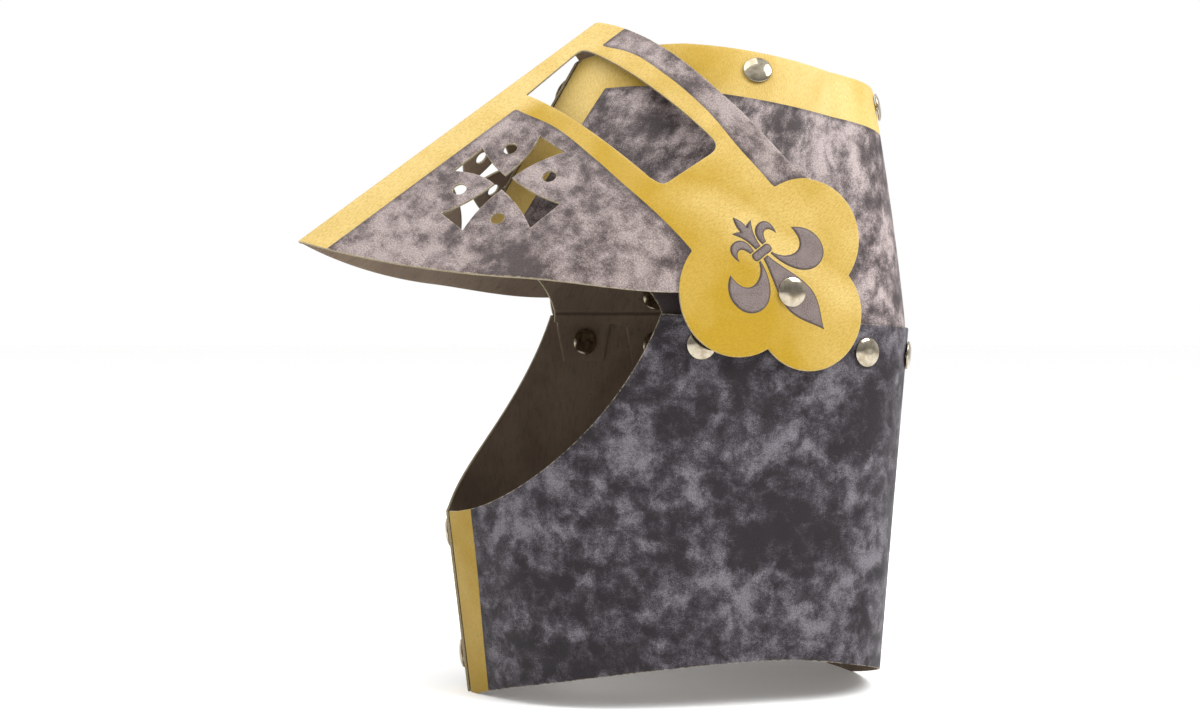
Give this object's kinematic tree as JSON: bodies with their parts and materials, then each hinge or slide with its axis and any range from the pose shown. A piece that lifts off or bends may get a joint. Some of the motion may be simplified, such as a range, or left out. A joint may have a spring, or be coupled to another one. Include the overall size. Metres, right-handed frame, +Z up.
{
  "type": "toy knight helmet with pivoting visor",
  "caption": "Toy knight helmet of printed fibreboard: neck sheet, skull sheet with crown plate, and a keeled visor with eye slots that turns on two temple rivets.",
  "frame": {"origin": "on the floor under the centre of the object's box", "axes": "+Z up, the face looks toward -X, the wearer's left side is -Y"},
  "size_m": [0.2605, 0.1632, 0.2818],
  "materials": {
    "neck_board": "printed mottled grey, low sheen",
    "skull_board": "printed mottled grey with gold band, low sheen",
    "visor_board": "printed gold and mottled grey, low sheen",
    "raw_board": "bare grey-brown board, matte",
    "rivet": "polished nickel, warm"
  },
  "bodies": {
    "shell": {"neck_sheet": "neck_board", "skull_sheet": "skull_board", "crown_plate": "raw_board", "seam_rivet_left_1": "rivet", "seam_rivet_right_1": "rivet", "seam_rivet_left_2": "rivet", "seam_rivet_right_2": "rivet", "seam_rivet_left_3": "rivet", "seam_rivet_right_3": "rivet", "seam_rivet_left_4": "rivet", "seam_rivet_right_4": "rivet", "seam_rivet_left_5": "rivet", "seam_rivet_right_5": "rivet", "crown_rivet_left_1": "rivet", "crown_rivet_right_1": "rivet", "crown_rivet_left_2": "rivet", "crown_rivet_right_2": "rivet", "chin_rivet_1": "rivet", "chin_rivet_2": "rivet", "brow_rivet_1": "rivet", "brow_rivet_2": "rivet", "pivot_rivet_left": "rivet", "pivot_rivet_right": "rivet"},
    "visor": {"visor_sheet": "visor_board"}
  },
  "joints": [
    {"name": "visor_hinge", "type": "hinge", "parent": "shell", "child": "visor", "pos_m": [0.05211, 0, 0.16612], "axis": [0, 1, 0], "range_deg": [-35, 4]}
  ]
}
